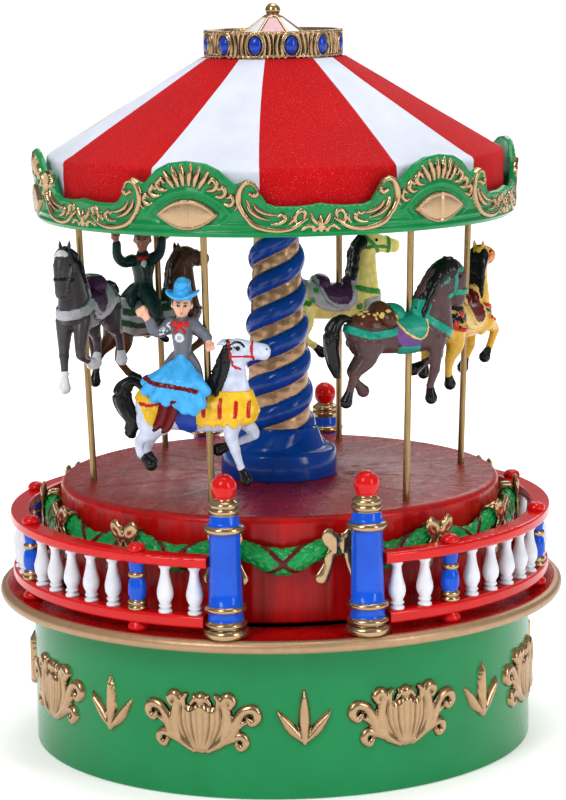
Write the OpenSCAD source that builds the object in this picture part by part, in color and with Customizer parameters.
// Carousel music box: six horses on leaning poles turn under a striped canopy,
// driven by a key-wound eighteen-note movement inside the base drum.
// +Z is up. The origin is the centre of the ring that the base stands on.
// Angles around the axis are counted from the front (-Y) towards +X.

/* [Stand] */
// Outer radius of the base drum
base_r = 51.2; // [50.6:0.1:52]
// Height of the base drum
base_h = 30; // [30:0.5:32]
// Wall of the base drum
base_wall = 2.4; // [2:0.1:2.6]
// Radius of the rim plate that carries the fence
rim_r = 58; // [58:0.5:60]
// Thickness of the rim plate
rim_t = 2.5; // [2.4:0.1:3]

/* [Fence] */
// Radius of the circle that the fence stands on
fence_r = 53.5; // [53.5:0.1:54]
// Direction of the front gate
gate_a = 3.2; // [0:0.1:5]
// Half angle between the two newels of a gate
gate_half = 14.5; // [13.5:0.1:14.9]
// Half angle from a gate to its nearest small post
post_first = 34; // [33.5:0.5:35]
// Number of small posts on each side
post_count = 4; // [3:1:5]
// Balusters in each bay between two small posts
bay_balusters = 5; // [3:1:6]
// Balusters between a newel and its nearest small post
end_balusters = 2; // [1:1:2]

/* [Carousel] */
// Radius of the turning drum
deck_r = 45; // [44.5:0.1:45.1]
// Height of the turning drum
deck_h = 20.8; // [20:0.1:21.5]
// Radius of the pole circle at the top of the drum
pole_circle_r = 38.4; // [37.5:0.1:38.6]
// Outward lean of the poles
pole_lean = 2; // [1:0.1:2.2]
// Diameter of the poles
pole_d = 1.3; // [1.2:0.05:1.5]
// Direction of the first pole
pole_first = -20; // [-22:1:-18]
// Number of garland swags round the drum
swag_count = 14; // [9:1:14]

/* [Canopy] */
// Outer radius of the rounding board at its lower edge
board_r = 48; // [48:0.1:48.6]
// Height of the rounding board's lower edge above the stand's foot
board_z = 107.4; // [107:0.1:108]
// Outer radius of the roof at the eave
eave_r = 46.2; // [46:0.1:46.2]
// Slope of the roof
roof_slope = 30.9; // [30.4:0.1:31.4]
// Outer radius of the crown ring
crown_r = 14.4; // [14:0.1:14.6]

/* [Movement] */
// Tooth module of the crown wheel and the cylinder pinion
drive_module = 0.7; // [0.69:0.005:0.71]
// Teeth of the crown wheel
wheel_teeth = 48; // [48:1:48]
// Teeth of the cylinder pinion
pinion_teeth = 12; // [12:1:12]
// Tooth module of the governor train
fine_module = 0.4; // [0.4:0.01:0.4]
// Radius of the pinned cylinder
cylinder_r = 6.5; // [6.2:0.1:6.5]
// Number of notes, one comb tooth each
notes = 18; // [12:1:18]

/* [Hidden] */
$fn = 64;
fine = 32;
coarse = 10;
fit = 0.05;
running_gap = 0.4;

rim_z = base_h;
rim_top = rim_z + rim_t;
deck_z = rim_top + running_gap;
deck_top = deck_z + deck_h;
deck_wall = 2;
swag_step = 360 / swag_count;
bow_first = -12.5;
garland_z = 48.2;
garland_sag = 2.8;
garland_half = 1.7;

bottom_rail_z = rim_top + 1.6;
bottom_rail_h = 2.4;
top_rail_z = rim_top + 13.3;
top_rail_h = 2.1;
bottom_rail_w = 3.4;
top_rail_w = 4;
post_core_r = 0.8;
newel_h = 31.2;
post_step = (180 - 2 * post_first) / (post_count - 1);
post_angles = [for (i = [0 : post_count - 1]) post_first + i * post_step];
end_step = (post_first - gate_half) / (end_balusters + 1);
bay_step = post_step / (bay_balusters + 1);
baluster_angles = concat(
    [for (i = [1 : end_balusters]) gate_half + i * end_step],
    [for (p = [0 : post_count - 2]) for (i = [1 : bay_balusters]) post_angles[p] + i * bay_step],
    [for (i = [1 : end_balusters]) 180 - gate_half - i * end_step]
);

pillar_z = deck_top + 10;
pillar_foot_r = 7;
pillar_head_r = 4.6;
pillar_lead = 13.8;
shaft_r = 1.25;
ceiling_z = 109;
ceiling_t = 1.5;
pillar_top = ceiling_z;
pole_r = pole_d / 2;
pole_sink = 3.2;
pole_l = ceiling_z + ceiling_t - deck_top + pole_sink + 0.2;
pole_angles = [for (i = [0 : 5]) pole_first + 60 * i];

eave_z = 119.9;
roof_t = 1.4;
skirt_z = ceiling_z + ceiling_t;
roof_top_r = crown_r + 0.2;
crown_z = eave_z + (eave_r - roof_top_r) * tan(roof_slope);
crown_h = 5.4;
crown_bead = 0.75;
board_wall = 1.5;
board_top = 121.7;
hump_edge = [[20, 5.8], [18, 6.4], [16.6, 8.2], [15.2, 10.2], [13.6, 10.8], [12, 10.2], [10.8, 9.9],
    [9.4, 11], [7.4, 12.6], [4.4, 13.8], [0, 14.25]];
finial_top = 149.5;

cover_z = 9;
cover_t = 1.5;
boss_r = 44.2;
bed_z = cover_z + cover_t;
bed_t = 1.8;
bed_top = bed_z + bed_t;
arbor_r = 2;
housing_r = 14.4;
housing_top = 23.5;
axis_z = 20.4;
wheel_pitch_r = drive_module * wheel_teeth / 2;
pinion_pitch_r = drive_module * pinion_teeth / 2;
wheel_pitch_z = axis_z + pinion_pitch_r;
cyl_x0 = 20.4;
cyl_l = 14.6;
gear_x = 37.4;
gear_w = 1.2;
spur_teeth = 30;
spur_pinion_teeth = 10;
governor_y = fine_module * (spur_teeth + spur_pinion_teeth) / 2;
worm_wheel_teeth = 18;
worm_wheel_x = 40.2;
worm_wheel_w = 0.8;
worm_starts = 2;
worm_lead = worm_starts * PI * fine_module;
worm_r = 1.5;
worm_l = 5.6;
fan_pivot_r = 0.5;
worm_y = governor_y + fine_module * worm_wheel_teeth / 2 + worm_r;
worm_x = worm_wheel_x + worm_wheel_w / 2;
movement_screws_at = [[-13, -13], [-13, 13], [40, -13]];
comb_screws_at = [24, 31.4];
governor_screws_at = [[38.4, 15.4]];

// ---------------------------------------------------------------- helpers

// Puts its children at angle a and radius r, with their -Y side outwards
module around(a, r = 0, z = 0)
    rotate(a)
        translate([0, -r, z])
            children();

// A flat ring
module ring(ro, ri, h, z = 0)
    translate([0, 0, z])
        difference() {
            cylinder(r = ro, h = h, $fn = 128);
            translate([0, 0, -1])
                cylinder(r = ri, h = h + 2, $fn = 128);
        }

// A solid of height h whose section turns and scales evenly as it rises
module twisted(section, h, turns, rings, top = 1) {
    n = len(section);
    polyhedron(
        points = [for (i = [0 : rings])
            let (f = i / rings, a = 360 * turns * f, s = 1 + (top - 1) * f)
                for (p = section)
                    [s * (p.x * cos(a) - p.y * sin(a)), s * (p.x * sin(a) + p.y * cos(a)), h * f]],
        faces = concat(
            [[for (j = [0 : n - 1]) j], [for (j = [n - 1 : -1 : 0]) rings * n + j]],
            [for (i = [0 : rings - 1]) for (j = [0 : n - 1])
                let (b = i * n, k = (j + 1) % n) [b + j, b + n + j, b + n + k]],
            [for (i = [0 : rings - 1]) for (j = [0 : n - 1])
                let (b = i * n, k = (j + 1) % n) [b + j, b + n + k, b + k]]));
}

// A tapered rod between two points, as the hull of two balls
module limb(a, b, ra, rb)
    hull() {
        translate(a)
            sphere(r = ra, $fn = coarse);
        translate(b)
            sphere(r = rb, $fn = coarse);
    }

// A leaf or petal: the lens between two arcs, from the origin along +Y
module petal(l, w) {
    r = (l * l + w * w) / (4 * w);
    translate([0, l / 2])
        intersection() {
            translate([r - w / 2, 0])
                circle(r = r);
            translate([w / 2 - r, 0])
                circle(r = r);
        }
}

// Toothed outline: trapezoid teeth, one of them centred on angle phase
module gear_outline(teeth, pitch_r, add, ded, thick, phase = 0) {
    root_r = pitch_r - ded;
    tip_r = pitch_r + add;
    at_root = (thick / 2 + ded * 0.36) / root_r * 180 / PI;
    at_tip = (thick / 2 - add * 0.36) / tip_r * 180 / PI;
    polygon([for (i = [0 : teeth - 1])
        for (p = [[root_r, -at_root], [tip_r, -at_tip], [tip_r, at_tip], [root_r, at_root]])
            let (a = phase + i * 360 / teeth + p[1]) p[0] * [cos(a), sin(a)]]);
}

// Extrudes a YZ outline along +X from x0
module along_x(x0, w, y = 0, z = 0)
    translate([x0, y, z])
        rotate([90, 0, 90])
            linear_extrude(w)
                children();

// A rod along X
module rod_x(x0, x1, r, y = 0, z = 0)
    translate([x0, y, z])
        rotate([0, 90, 0])
            cylinder(r = r, h = x1 - x0, $fn = fine);

// ------------------------------------------------------------------ stand

module base_shell()
    color("seagreen")
        difference() {
            union() {
                difference() {
                    cylinder(r = base_r, h = base_h, $fn = 128);
                    translate([0, 0, -1])
                        cylinder(r = base_r - base_wall, h = base_h + 2, $fn = 128);
                }
                for (i = [0 : 3])
                    around(45 + 90 * i)
                        cover_boss();
            }
            for (i = [0 : 3])
                around(45 + 90 * i, boss_r, bed_z - 1)
                    cylinder(r = 0.9, h = 12, $fn = fine);
        }

// A screw boss on the inside of the wall
module cover_boss() {
    translate([0, -boss_r, bed_z])
        cylinder(r = 3, h = 14, $fn = fine);
    translate([-1, -base_r + base_wall / 2, bed_z])
        cube([2, base_r - base_wall / 2 - boss_r - 1, 14]);
}

// Raised mouldings on the base drum: shells and three-leaf sprigs in turn
module base_ornaments()
    color("goldenrod")
        intersection() {
            ring(base_r + 1.1, base_r, base_h - 2, 1);
            union() {
                for (i = [0 : 7])
                    around(-17.8 + 45 * i, base_r - 3, 15)
                        relief()
                            shell_outline();
                for (i = [0 : 7])
                    around(4.5 + 45 * i, base_r - 3, 16.7)
                        relief()
                            sprig_outline();
            }
        }

module relief()
    rotate([90, 0, 0])
        linear_extrude(6)
            children();

// Scallop shell: a fan of seven lobes over a small round foot
module shell_outline()
    translate([0, -5.6])
        polygon(concat(
            [for (t = [84 : -6 : -84])
                let (r = (12.8 - 1.6 * pow(t / 84, 2)) * (0.82 + 0.18 * abs(cos(t * 7.5))))
                    r * [sin(t), cos(t)]],
            [[-5.4, -1.4], [-2.6, -2], [0, -1.6], [2.6, -2], [5.4, -1.4]]));

// Three-leaf sprig
module sprig_outline()
    for (s = [0, 1])
        mirror([s, 0])
            polygon([[0, -5.6], [0.6, -5.6], [3.4, -3], [5.4, 0.8], [2.6, -0.6], [0.8, -3], [1.5, 1.4],
                [0, 5.8]]);

module rim_plate()
    color("tan")
        difference() {
            union() {
                translate([0, 0, rim_z])
                    cylinder(r = rim_r - rim_t / 2, h = rim_t, $fn = 128);
                translate([0, 0, rim_z + rim_t / 2])
                    rotate_extrude($fn = 128)
                        translate([rim_r - rim_t / 2, 0])
                            circle(r = rim_t / 2, $fn = fine);
            }
            translate([0, 0, rim_z - 1])
                cylinder(r = 4 + fit, h = rim_t + 2);
        }

module bottom_cover()
    color("dimgray")
        difference() {
            translate([0, 0, cover_z])
                cylinder(r = base_r - base_wall - 0.3, h = cover_t, $fn = 128);
            translate([0, 0, cover_z - 1])
                cylinder(r = 4, h = cover_t + 2);
            for (i = [0 : 3])
                around(45 + 90 * i, boss_r, cover_z - 1)
                    cylinder(r = 1.1, h = cover_t + 2, $fn = fine);
            for (p = movement_screws_at)
                translate([p[0], p[1], cover_z - 1])
                    cylinder(r = 1.1, h = cover_t + 2, $fn = fine);
            for (i = [-3 : 3])
                around(-90 + i * 9, 33, cover_z - 1)
                    cylinder(r = 1.4, h = cover_t + 2, $fn = fine);
        }

// A pan-head screw, head down, entering upwards from the origin
module screw(head_r, shank_r, l) {
    translate([0, 0, -1.4])
        cylinder(r = head_r, h = 1.4, $fn = fine);
    cylinder(r = shank_r, h = l, $fn = fine);
}

module bottom_cover_screws()
    color("silver")
        for (i = [0 : 3])
            around(45 + 90 * i, boss_r, cover_z)
                screw(2.3, 0.85, 10);

// ------------------------------------------------------------------ fence

// side is -1 for the left half of the fence and 1 for the right half
module on_side(side, a, z)
    around(gate_a + side * a, fence_r, z)
        children();

// reach is how far the rail stops short of a newel's centre, in degrees
module rail(side, z, w, h, reach)
    difference() {
        translate([0, 0, z])
            rotate(gate_a + (side > 0 ? -90 : -270) + gate_half + reach)
                rotate_extrude(angle = 180 - 2 * (gate_half + reach), $fn = 128)
                    translate([fence_r - w / 2, 0])
                        rail_outline(w, h);
        for (a = post_angles)
            on_side(side, a, z - 1)
                cylinder(r = post_core_r + fit, h = h + 2, $fn = fine);
    }

// Section of a rail: a plank with a rounded nosing on both edges
module rail_outline(w, h) {
    translate([h / 4, 0])
        square([w - h / 2, h]);
    for (x = [h / 4, w - h / 4])
        for (y = [h / 4, h * 3 / 4])
            translate([x, y])
                circle(r = h / 4, $fn = fine);
    translate([0, h / 4])
        square([w, h / 2]);
}

module bottom_rail(side)
    color("red")
        rail(side, bottom_rail_z, bottom_rail_w, bottom_rail_h, 4.3);

module top_rail(side)
    color("red")
        rail(side, top_rail_z, top_rail_w, top_rail_h, 3.4);

module balusters(side)
    color("white")
        for (a = baluster_angles)
            on_side(side, a, bottom_rail_z + bottom_rail_h)
                baluster(top_rail_z - bottom_rail_z - bottom_rail_h);

// A turned baluster with a low bulge and a slim neck
module baluster(h)
    rotate_extrude($fn = fine)
        polygon([[0, 0], [1.5, 0], [1.5, 0.7], [1.1, 1], [1.7, 2.6], [1.6, 3.4], [0.9, 5.4],
            [0.8, h - 2], [1.2, h - 1.6], [0.9, h - 1.2], [1.4, h - 0.7], [1.4, h], [0, h]]);

module fence_posts(side)
    color("royalblue")
        for (a = post_angles)
            on_side(side, a, rim_top)
                fence_post();

// One small post: foot under the bottom rail, turned body, low knob on the top rail
module fence_post() {
    foot = bottom_rail_z - rim_top;
    body = foot + bottom_rail_h;
    under = top_rail_z - rim_top;
    over = under + top_rail_h;
    rotate_extrude($fn = fine)
        polygon([[0, 0], [2, 0], [2, foot], [post_core_r, foot], [post_core_r, body], [2.2, body],
            [2.2, body + 0.7], [1.5, body + 1.2], [1.6, body + 2.6], [2, body + 3], [2, body + 3.6],
            [1.4, body + 4], [1.3, under - 1.8], [1.9, under - 1.4], [1.9, under],
            [post_core_r, under], [post_core_r, over], [1.75, over], [1.75, over + 0.4],
            [1.5, over + 1], [0.9, over + 1.4], [0, over + 1.5]]);
}

// A tall gate newel with turned rings and a ball
module newel(side, a)
    color("royalblue")
        on_side(side, a, rim_top) {
            rotate_extrude($fn = 48)
                polygon([[0, 0], [4.3, 0], [4.3, 1.2], [3.6, 1.9], [3.9, 2.6], [3.5, 3.4],
                    [3.2, 3.8], [3.2, 4.8], [3.9, 5.2], [3.9, 6.2], [3.1, 6.6], [3.1, 19.8],
                    [3.9, 20.2], [3.9, 21.6], [2.9, 22.2], [2.7, 23.4], [2.9, 24], [2.8, 25.4],
                    [2, 26], [1.8, 26.8], [0, 26.8]]);
            translate([0, 0, newel_h - 2.4])
                sphere(r = 2.4, $fn = 48);
        }

// --------------------------------------------------------------- movement

module bedplate()
    color("darkgoldenrod")
        difference() {
            union() {
                translate([-17.5, -17.5, bed_z])
                    cube([61, 34, bed_t]);
                translate([18.2, -3, bed_z])
                    cube([1.2, 6, axis_z + 2.6 - bed_z]);
                translate([35.6, -3, bed_z])
                    cube([1.2, 6, axis_z + 2.6 - bed_z]);
                translate([35.6, governor_y - 2, bed_z])
                    cube([1.2, 4, axis_z + 1.6 - bed_z]);
                translate([42, governor_y - 2, bed_z])
                    cube([1.2, 4, axis_z + 1.6 - bed_z]);
                translate([20.4, -17, bed_z])
                    cube([14.6, 4.4, axis_z - 0.4 - bed_z]);
            }
            translate([0, 0, bed_z - 1])
                cylinder(r = arbor_r + fit, h = bed_t + 2);
            for (p = movement_screws_at)
                translate([p[0], p[1], bed_z - 1])
                    cylinder(r = 0.95, h = bed_t + 2, $fn = fine);
            for (x = comb_screws_at)
                translate([x, -15, axis_z - 7])
                    cylinder(r = 0.85, h = 8, $fn = fine);
            rod_x(17, 38, 1 + fit, 0, axis_z);
            rod_x(35, 44, 0.6 + fit, governor_y, axis_z);
            for (p = governor_screws_at)
                translate([p[0], p[1], bed_z + 0.4])
                    cylinder(r = 0.65, h = bed_t, $fn = fine);
        }

module movement_screws()
    color("silver")
        for (p = movement_screws_at)
            translate([p[0], p[1], cover_z])
                screw(1.9, 0.9, 4);

// Spring housing: a drum with a closed top, screwed to the bedplate
module spring_housing()
    color("silver")
        difference() {
            translate([0, 0, bed_top])
                cylinder(r = housing_r, h = housing_top - bed_top);
            translate([0, 0, bed_top - 1])
                cylinder(r = housing_r - 0.9, h = housing_top - bed_top);
            translate([0, 0, bed_top - 1])
                cylinder(r = arbor_r + fit, h = 20);
        }

// Flat spiral spring inside the housing
module mainspring()
    color("slategray")
        translate([0, 0, bed_top + 0.5])
            linear_extrude(housing_top - bed_top - 2)
                polygon(concat(spiral(0.18, 0, 120), spiral(-0.18, 120, 0)));

// Points along an Archimedean spiral of five turns, offset by half a thickness
function spiral(off, from, to) =
    [for (i = [from : to > from ? 1 : -1 : to])
        let (a = i * 15, r = 2.7 + i * 0.082 + off) [r * cos(a), r * sin(a)]];

// Steel comb: one tooth for each note, tips just clear of the cylinder's pins
module comb()
    color("lightsteelblue")
        difference() {
            translate([20.6, -17, axis_z - 0.4])
                cube([14.2, 9.8, 0.8]);
            for (i = [1 : notes - 1])
                translate([20.6 + i * 14.2 / notes - 0.1, -12, axis_z - 1])
                    cube([0.2, 5, 2]);
            for (x = comb_screws_at)
                translate([x, -15, axis_z - 1])
                    cylinder(r = 1, h = 2, $fn = fine);
        }

module comb_screws()
    color("silver")
        for (x = comb_screws_at)
            translate([x, -15, axis_z + 0.4])
                mirror([0, 0, 1])
                    screw(1.6, 0.8, 6);

// Bracket that carries the fan's two pivots
module governor_frame()
    color("darkgoldenrod")
        difference() {
            union() {
                for (z = [bed_top, bed_top + 16])
                    translate([36.6, 11.6, z])
                        cube([5.4, 4.8, 0.9]);
                translate([36.6, 14.4, bed_top])
                    cube([1, 2, 16.5]);
            }
            translate([worm_x, worm_y, bed_top - 1])
                cylinder(r = fan_pivot_r + fit, h = 20, $fn = fine);
            for (p = governor_screws_at)
                translate([p[0], p[1], bed_top - 1])
                    cylinder(r = 0.65, h = 3, $fn = fine);
        }

// Two-winged key, reached from under the base
module winding_key()
    color("goldenrod")
        difference() {
            union() {
                translate([0, 0, 3.4])
                    cylinder(r = 3.4, h = 5, $fn = fine);
                for (s = [-1, 1])
                    hull() {
                        translate([s * 2, 1, 4.6])
                            rotate([90, 0, 0])
                                cylinder(r = 2.2, h = 2, $fn = fine);
                        translate([s * 8, 1, 4.6])
                            rotate([90, 0, 0])
                                cylinder(r = 3.4, h = 2, $fn = fine);
                    }
            }
            translate([0, 0, 3.9])
                cylinder(r = 1.6, h = 6, $fn = fine);
        }

module mainspring_arbor()
    color("silver")
        union() {
            translate([0, 0, 4])
                cylinder(r = 1.6, h = 4.5, $fn = fine);
            translate([0, 0, 8.5])
                cylinder(r = arbor_r, h = 27, $fn = fine);
        }

// Crown wheel: teeth hang down from the rim of the disc
module main_wheel()
    color("gold")
        difference() {
            union() {
                translate([0, 0, wheel_pitch_z + 0.8])
                    cylinder(r = wheel_pitch_r + 0.9, h = 1.4);
                translate([0, 0, wheel_pitch_z - 0.6])
                    cylinder(r = 3.6, h = 3.4, $fn = fine);
                for (i = [0 : wheel_teeth - 1])
                    rotate((i + 0.5) * 360 / wheel_teeth)
                        crown_tooth();
            }
            translate([0, 0, wheel_pitch_z - 2])
                cylinder(r = arbor_r, h = 6, $fn = fine);
        }

// One tooth of the crown wheel, standing at +X
module crown_tooth()
    along_x(wheel_pitch_r - 0.8, 1.6, 0, wheel_pitch_z)
        polygon([[-0.7, 0.85], [-0.24, -0.5], [0.24, -0.5], [0.7, 0.85]]);

// Pinned cylinder: the pins follow a rising pattern of notes
module music_cylinder()
    color("gold")
        difference() {
            union() {
                rod_x(cyl_x0, cyl_x0 + cyl_l, cylinder_r, 0, axis_z);
                for (i = [0 : 2 * notes - 1])
                    translate([cyl_x0 + 0.6 + (i * 7 % notes) * (cyl_l - 1.2) / notes, 0, axis_z])
                        rotate([i * 180 / notes, 0, 0])
                            translate([0, 0, cylinder_r - 0.2])
                                cylinder(r = 0.15, h = 0.6, $fn = 16);
            }
            rod_x(cyl_x0 + 1, cyl_x0 + cyl_l - 1, cylinder_r - 0.8, 0, axis_z);
            rod_x(cyl_x0 - 1, cyl_x0 + cyl_l + 1, 1, 0, axis_z);
        }

// Pinion and arbor of the cylinder
module cylinder_pinion()
    color("silver") {
        along_x(wheel_pitch_r - 0.7, 1.4, 0, axis_z)
            gear_outline(pinion_teeth, pinion_pitch_r, 0.5, 0.8, 0.8);
        rod_x(wheel_pitch_r - 0.7, gear_x + gear_w, 1, 0, axis_z);
    }

module cylinder_wheel()
    color("gold")
        difference() {
            along_x(gear_x, gear_w, 0, axis_z)
                gear_outline(spur_teeth, fine_module * spur_teeth / 2, 0.3, 0.45, 0.5);
            rod_x(gear_x - 1, gear_x + gear_w + 1, 1, 0, axis_z);
        }

// Governor arbor with its pinion and worm wheel
module governor_wheel()
    color("gold") {
        along_x(gear_x, gear_w, governor_y, axis_z)
            gear_outline(spur_pinion_teeth, fine_module * spur_pinion_teeth / 2, 0.3, 0.45, 0.5,
                180 / spur_pinion_teeth);
        along_x(worm_wheel_x, worm_wheel_w, governor_y, axis_z)
            gear_outline(worm_wheel_teeth, fine_module * worm_wheel_teeth / 2, 0.3, 0.45, 0.42);
        rod_x(35.5, 43.3, 0.6, governor_y, axis_z);
    }

// Two-start worm with the air-brake fan above it
module governor_worm_fan()
    color("silver") {
        turns = worm_l / worm_lead;
        translate([worm_x, worm_y, axis_z - worm_l / 2])
            rotate(-180 * turns)
                twisted(worm_section(), worm_l, turns, 28);
        translate([worm_x, worm_y, bed_top + 0.05])
            cylinder(r = fan_pivot_r, h = 16.8, $fn = fine);
        translate([worm_x, worm_y, bed_top + 11.6])
            cylinder(r = 1, h = 4, $fn = fine);
        for (s = [-1, 1])
            translate([worm_x + (s > 0 ? 0 : -2.7), worm_y - 0.15, bed_top + 12])
                cube([2.7, 0.3, 3.2]);
    }

// Worm section: a core with one thread on each side
function worm_section() =
    [for (k = [0, 180]) for (p = [[1.8, -20], [1.8, 20], [1.25, 32], [1.05, 52], [1.05, 90], [1.05, 128],
            [1.25, 148]])
        p[0] * [cos(k + p[1]), sin(k + p[1])]];

// --------------------------------------------------------------- carousel

// Hub: its journal turns in the rim plate and its socket takes the arbor's end
module drive_hub()
    color("gray")
        difference() {
            union() {
                translate([0, 0, 28.2])
                    cylinder(r = 4, h = 5);
                translate([0, 0, rim_top + 0.2])
                    cylinder(r = 7.5, h = 1.6);
                translate([0, 0, rim_top + 1])
                    cylinder(r = 3, h = 14, $fn = fine);
            }
            translate([0, 0, 27])
                cylinder(r = arbor_r + fit, h = 8.8, $fn = fine);
            translate([0, 0, 37])
                cylinder(r = shaft_r + fit, h = 12, $fn = fine);
        }

// Steel tie rod from the hub to the finial
module centre_shaft()
    color("silver")
        translate([0, 0, 37.2])
            cylinder(r = shaft_r, h = finial_top - 37.2 - 2.2, $fn = fine);

module drum_deck()
    color("firebrick")
        difference() {
            union() {
                difference() {
                    rotate_extrude($fn = 128)
                        deck_outline(deck_r, deck_top, 1.2);
                    translate([0, 0, deck_z - 1])
                        cylinder(r = deck_r - deck_wall, h = deck_h - deck_wall + 1, $fn = 128);
                }
                for (a = pole_angles)
                    around(a, pole_circle_r - 0.1, deck_top - deck_wall - 2.6)
                        cylinder(r = 2.2, h = 3, $fn = fine);
                translate([0, 0, rim_top + 1.8])
                    cylinder(r = 6, h = deck_h - 3, $fn = fine);
            }
            translate([0, 0, deck_z - 1])
                cylinder(r = 3 + fit, h = 16, $fn = fine);
            translate([0, 0, deck_z])
                cylinder(r = shaft_r + fit, h = 30, $fn = fine);
            for (a = pole_angles)
                on_pole(a, -pole_sink - 0.1)
                    cylinder(r = pole_r + fit, h = 9, $fn = fine);
        }

// Half section of the drum with a rounded top edge
module deck_outline(r, top, edge) {
    translate([0, deck_z])
        square([r - edge, top - deck_z]);
    translate([0, deck_z])
        square([r, top - edge - deck_z]);
    translate([r - edge, top - edge])
        circle(r = edge, $fn = fine);
}

// Stands its children on a pole's own axis, h above the top of the drum
module on_pole(a, h = 0)
    around(a, pole_circle_r, deck_top)
        rotate([pole_lean, 0, 0])
            translate([0, 0, h])
                children();

module pole(i)
    color("peru")
        on_pole(pole_angles[i], -pole_sink)
            cylinder(r = pole_r, h = pole_l, $fn = fine);

// Garland: one closed rope of leaves that sags between the bows
module garland() {
    rings = swag_count * 6;
    sides = 8;
    color("forestgreen")
        polyhedron(
            points = [for (i = [0 : rings - 1]) for (j = [0 : sides - 1]) garland_point(i, j)],
            faces = [for (i = [0 : rings - 1]) for (j = [0 : sides - 1])
                let (n = (i + 1) % rings, k = (j + 1) % sides)
                    [i * sides + j, i * sides + k, n * sides + k, n * sides + j]]);
}

// Point j of section i of the garland
function garland_point(i, j) =
    let (t = i / 6,
        a = bow_first + t * swag_step,
        sag = garland_sag * pow(sin(180 * t), 2),
        thick = 1.9 + 0.9 * pow(sin(180 * t), 2),
        r = deck_r + garland_half + 0.06 + garland_half * cos(j * 45),
        z = garland_z - sag + thick * sin(j * 45))
    [r * sin(a), -r * cos(a), z];

module garland_bows()
    color("gold")
        for (i = [0 : swag_count - 1])
            around(bow_first + i * swag_step, deck_r + 3.5, garland_z)
                rotate([90, 0, 0])
                    linear_extrude(1)
                        bow_outline();

module bow_outline() {
    circle(r = 0.9, $fn = fine);
    for (s = [-1, 1]) {
        rotate(s * -80)
            petal(3.8, 2.4);
        rotate(180 - s * 22)
            petal(7.4, 1.6);
    }
}

// Tapered column with two raised bands winding up it
module pillar()
    color("midnightblue")
        difference() {
            translate([0, 0, pillar_z])
                twisted(pillar_section(), pillar_top - pillar_z, (pillar_top - pillar_z) / pillar_lead,
                    36, pillar_head_r / pillar_foot_r);
            translate([0, 0, pillar_z - 1])
                cylinder(r = shaft_r + fit, h = pillar_top - pillar_z + 2, $fn = fine);
        }

// Column section: two wide bands that stand proud and two sunk ones between them
function pillar_section() =
    [for (k = [0, 180]) for (p = [[55, -0.4], [78, -0.4], [102, -0.4], [125, -0.4],
            [129, 0.3], [163, 0.3], [197, 0.3], [231, 0.3]])
        (pillar_foot_r + p[1]) * [cos(k + p[0]), sin(k + p[0])]];

// Round foot of the column: drum, shoulder and a neck of eight lobes
module pillar_base()
    color("royalblue")
        difference() {
            union() {
                translate([0, 0, deck_top])
                    cylinder(r1 = 12, r2 = 11.4, h = 5.6);
                translate([0, 0, deck_top + 5.6])
                    cylinder(r1 = 11, r2 = 8, h = 2.2);
                for (i = [0 : 7])
                    around(i * 45, 6.2, deck_top + 5.6)
                        cylinder(r1 = 3.8, r2 = 2.2, h = 4.4, $fn = fine);
                translate([0, 0, deck_top + 5])
                    cylinder(r = 7, h = 5, $fn = fine);
            }
            translate([0, 0, deck_top - 1])
                cylinder(r = shaft_r + fit, h = 14, $fn = fine);
        }

// ----------------------------------------------------------------- horses

// A carved horse on its pole. heading is where it faces, 0 being +X and 90 away
// from the front. legs holds [upper angle, lower angle] for near fore, off fore,
// near hind and off hind, counted forwards from straight down.
module horse(i, h, heading, neck, head, legs, tone)
    color(tone)
        difference() {
            on_pole(pole_angles[i], h)
                rotate(heading - pole_angles[i])
                    horse_shape(neck, head, legs);
            on_pole(pole_angles[i], -5)
                cylinder(r = pole_r + fit, h = 80, $fn = 16);
        }

module horse_shape(neck, head, legs) {
    poll = [7.2 + 10 * sin(neck), 0, -1.5 + 10 * cos(neck)];
    nose = poll + 6.8 * [cos(head), 0, sin(head)];
    limb([-9, 0, -3.6], [-3, 0, -3.9], 4.1, 3.6);
    limb([-3, 0, -3.9], [5.4, 0, -3.7], 3.6, 3.9);
    limb([5.8, 0, -2.6], poll, 3.5, 2.1);
    limb(poll, nose, 2.1, 1.2);
    for (s = [-1, 1])
        limb(poll + [-0.2, s * 1.1, 1], poll + [0, s * 1.4, 3.1], 0.7, 0.3);
    limb(poll + [-1.6, 0, 0.4], [3.6, 0, 1.2], 1, 1.2);
    limb([-12.3, 0, -1.4], [-15.2, 0, -5], 1.1, 1.6);
    limb([-15.2, 0, -5], [-14.6, 0, -11.4], 1.6, 0.7);
    leg([6, -2.3, -5.2], legs[0], 2.1, 5.2, 6);
    leg([6, 2.3, -5.2], legs[1], 2.1, 5.2, 6);
    leg([-9.6, -2.4, -5.2], legs[2], 2.6, 5.6, 6.2);
    leg([-9.6, 2.4, -5.2], legs[3], 2.6, 5.6, 6.2);
}

module leg(hip, bend, thick, upper, lower) {
    knee = hip + upper * [sin(bend[0]), 0, -cos(bend[0])];
    hoof = knee + lower * [sin(bend[1]), 0, -cos(bend[1])];
    limb(hip, knee, thick, 1.15);
    limb(knee, hoof, 1.15, 1.05);
}

module horse_white()
    horse(0, 22.8, -10, -8, -4, [[20, 30], [62, -70], [-14, 4], [10, 40]], "gainsboro");

module horse_dark_brown()
    horse(1, 36.6, 26, 12, -70, [[2, -4], [48, -66], [-14, -8], [24, 30]], "saddlebrown");

module horse_yellow()
    horse(2, 34, 61, -4, -4, [[4, -4], [70, -10], [-10, 16], [20, -30]], "gold");

module horse_cream()
    horse(3, 34, 20, -4, -4, [[30, -20], [62, -60], [-20, 30], [10, 10]], "khaki");

module horse_chestnut()
    horse(4, 31.9, 25, -6, -6, [[40, -10], [64, -60], [4, 24], [-20, 10]], "sienna");

module horse_black()
    horse(5, 38.6, -108, 10, -70, [[8, -4], [56, -50], [0, -10], [20, 16]], "dimgray");

// ----------------------------------------------------------------- riders

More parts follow.
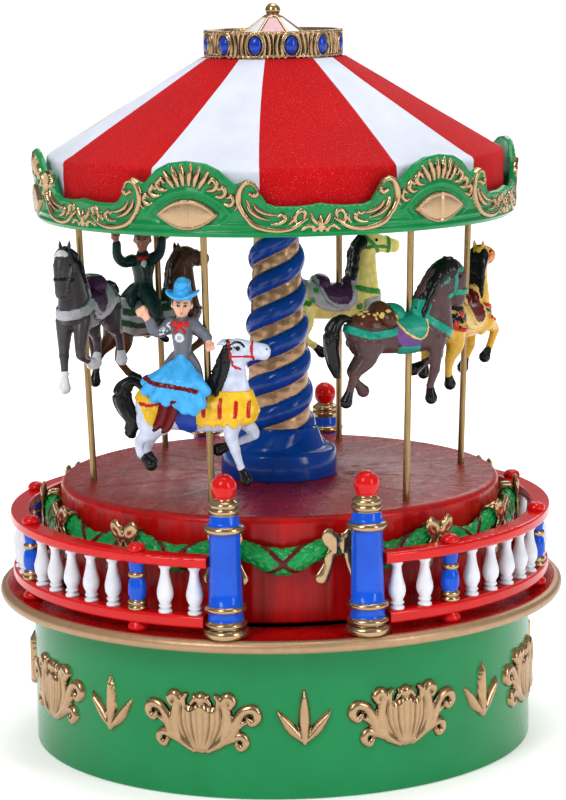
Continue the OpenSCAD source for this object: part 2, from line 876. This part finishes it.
// Rider seated behind the pole at pole i, turned to face out from its horse
module rider(i, h, heading, tone)
    color(tone)
        difference() {
            on_pole(pole_angles[i], h)
                rotate(heading - pole_angles[i])
                    children();
            on_pole(pole_angles[i], -5)
                cylinder(r = pole_r + fit, h = 80, $fn = 16);
        }

module lady_rider()
    rider(0, 24.8, -10, "deepskyblue") {
        limb([-4.6, -1.2, 8], [-5, -5.2, 0.4], 1.8, 4);
        limb([-4.6, -1.2, 8], [-0.8, -4.6, -0.6], 1.8, 3.2);
        limb([-4.6, -0.8, 9], [-4.6, -0.8, 13], 1.9, 2.7);
        limb([-4.6, -1, 14.6], [-4.6, -1, 18.6], 1.2, 2.5);
        limb([-7, -1, 13.4], [-10, -2, 12.6], 1.2, 1);
        limb([-10, -2, 12.6], [-11.6, -2.4, 16], 1, 1.2);
        limb([-2.2, -1, 13.6], [1.4, -2.6, 10.6], 1.2, 1);
        limb([-5.2, -6.6, 0], [-6, -6.2, -4.6], 1.2, 1);
        translate([-4.6, -1, 20])
            cylinder(r1 = 3.6, r2 = 3, h = 0.9, $fn = fine);
        translate([-4.6, -1, 20.8])
            cylinder(r1 = 2.5, r2 = 1.3, h = 2.6, $fn = fine);
    }

module gentleman_rider()
    rider(4, 32.2, 25, "darkslategray") {
        limb([-3.6, -0.6, 1.4], [-3.6, -1, 9.4], 2.6, 2.5);
        limb([-3.6, -1, 10], [-3.6, -1, 13.6], 1.2, 2.2);
        limb([-3.2, -2, 1.2], [-1, -4.6, -3.6], 1.8, 1.1);
        limb([-1, -4.6, -3.6], [-1.8, -4.8, -8], 1.1, 1);
        limb([-5.6, -1, 9], [-9, -1.4, 9.8], 1.2, 1);
        limb([-9, -1.4, 9.8], [-10, -1.4, 14], 1, 0.8);
        limb([-1.4, -1, 9], [3.2, -1.4, 13.8], 1.2, 0.8);
        translate([-3.6, -1, 14.4])
            cylinder(r = 3.3, h = 0.8, $fn = fine);
        translate([-3.6, -1, 15])
            cylinder(r1 = 2.3, r2 = 2.1, h = 2, $fn = fine);
    }

// ----------------------------------------------------------------- canopy

module canopy_ceiling()
    color("darkgreen")
        difference() {
            translate([0, 0, ceiling_z])
                cylinder(r = eave_r, h = ceiling_t, $fn = 128);
            translate([0, 0, ceiling_z - 1])
                cylinder(r = shaft_r + fit, h = ceiling_t + 2, $fn = fine);
            for (a = pole_angles)
                on_pole(a)
                    cylinder(r = pole_r + fit, h = 70, $fn = fine);
        }

// Rounding board: a ring with six humps over the poles and a medallion under each
module rounding_board()
    color("seagreen") {
        difference() {
            rotate_extrude($fn = 128)
                board_section();
            for (a = pole_angles)
                around(a + 30, 20, board_z)
                    rotate([90, 0, 0])
                        linear_extrude(35)
                            trough_outline();
        }
        for (a = pole_angles)
            around(a, board_r - 1, board_z + 4.4)
                medallion();
    }

// Half section of the board: two beads along the foot and a wall that opens a little upwards
module board_section() {
    polygon([[board_r - board_wall, board_z], [board_r, board_z], [board_r + 0.7, board_top],
        [board_r + 0.7 - board_wall - 0.7, board_top]]);
    for (z = [0.7, 2.1])
        translate([board_r - 0.1, board_z + z])
            circle(r = 0.65, $fn = fine);
}

// What is cut away between two humps, seen from outside. hump_edge gives each
// point's angle from the middle of the hump and its height above the board's foot.
module trough_outline() {
    side = [for (p = hump_edge) [board_r * sin(30 - p[0]), p[1]]];
    far = len(side) - 1;
    polygon(concat(side, [[side[far].x, 20], [-side[far].x, 20]],
        [for (i = [far : -1 : 0]) [-side[i].x, side[i].y]]));
}

module medallion()
    rotate([90, 0, 0])
        linear_extrude(2)
            translate([-6.4, 0])
                rotate(-90)
                    petal(12.8, 5.4);

// Roof cone with a flat land for the crown and a short skirt that drops behind the board
module roof()
    color("crimson")
        rotate_extrude($fn = 128)
            polygon([[10, crown_z], [roof_top_r, crown_z], [eave_r, eave_z], [eave_r, skirt_z],
                [eave_r - roof_t, skirt_z], [eave_r - roof_t, eave_z - 0.8],
                [roof_top_r, crown_z - roof_t - 0.3], [10, crown_z - roof_t - 0.3]]);

// Crown ring round the top of the roof
module crown()
    color("gold")
        translate([0, 0, crown_z])
            rotate_extrude($fn = 96) {
                translate([crown_r - 1.6, 0])
                    square([1.2, crown_h - 0.4]);
                for (z = [crown_bead, crown_h - crown_bead])
                    translate([crown_r - crown_bead, z])
                        circle(r = crown_bead, $fn = fine);
            }

module crown_cabochons()
    color("mediumblue")
        for (i = [0 : 11])
            around(-15 + 30 * i, crown_r - 0.4, crown_z + crown_h / 2)
                rotate([90, 0, 0])
                    cylinder(r1 = 1.1, r2 = 0.7, h = 0.9, $fn = fine);

// Small pointed tent inside the crown
module top_tent()
    color("mistyrose")
        difference() {
            translate([0, 0, crown_z])
                cylinder(r1 = crown_r - 2, r2 = 2, h = finial_top - 3.3 - crown_z, $fn = 96);
            translate([0, 0, crown_z - 1])
                cylinder(r = shaft_r + fit, h = 14, $fn = fine);
        }

module finial()
    color("gold")
        difference() {
            union() {
                translate([0, 0, finial_top - 1.8])
                    sphere(r = 1.8, $fn = 48);
                translate([0, 0, finial_top - 3.3])
                    cylinder(r1 = 2.3, r2 = 1.6, h = 0.9, $fn = 48);
            }
            translate([0, 0, finial_top - 6])
                cylinder(r = shaft_r + fit, h = 4, $fn = fine);
        }

// ------------------------------------------------------------------ nodes

base_shell();
base_ornaments();
rim_plate();
bottom_cover();
bottom_cover_screws();
bottom_rail(-1);  // fence_bottom_rail_left
bottom_rail(1);  // fence_bottom_rail_right
top_rail(-1);  // fence_top_rail_left
top_rail(1);  // fence_top_rail_right
balusters(-1);  // fence_balusters_left
balusters(1);  // fence_balusters_right
fence_posts(-1);  // fence_posts_left
fence_posts(1);  // fence_posts_right
newel(-1, gate_half);  // newel_front_left
newel(1, gate_half);  // newel_front_right
newel(-1, 180 - gate_half);  // newel_back_left
newel(1, 180 - gate_half);  // newel_back_right
bedplate();
movement_screws();
spring_housing();
mainspring();
comb();
comb_screws();
governor_frame();
winding_key();
mainspring_arbor();
main_wheel();
music_cylinder();
cylinder_pinion();
cylinder_wheel();
governor_wheel();
governor_worm_fan();
drive_hub();
centre_shaft();
drum_deck();
garland();
garland_bows();
pillar();
pillar_base();
pole(0);  // pole_front_left
pole(1);  // pole_front_right
pole(2);  // pole_right
pole(3);  // pole_back_right
pole(4);  // pole_back_left
pole(5);  // pole_left
horse_white();
horse_dark_brown();
horse_yellow();
horse_cream();
horse_chestnut();
horse_black();
lady_rider();
gentleman_rider();
canopy_ceiling();
rounding_board();
roof();
crown();
crown_cabochons();
top_tent();
finial();
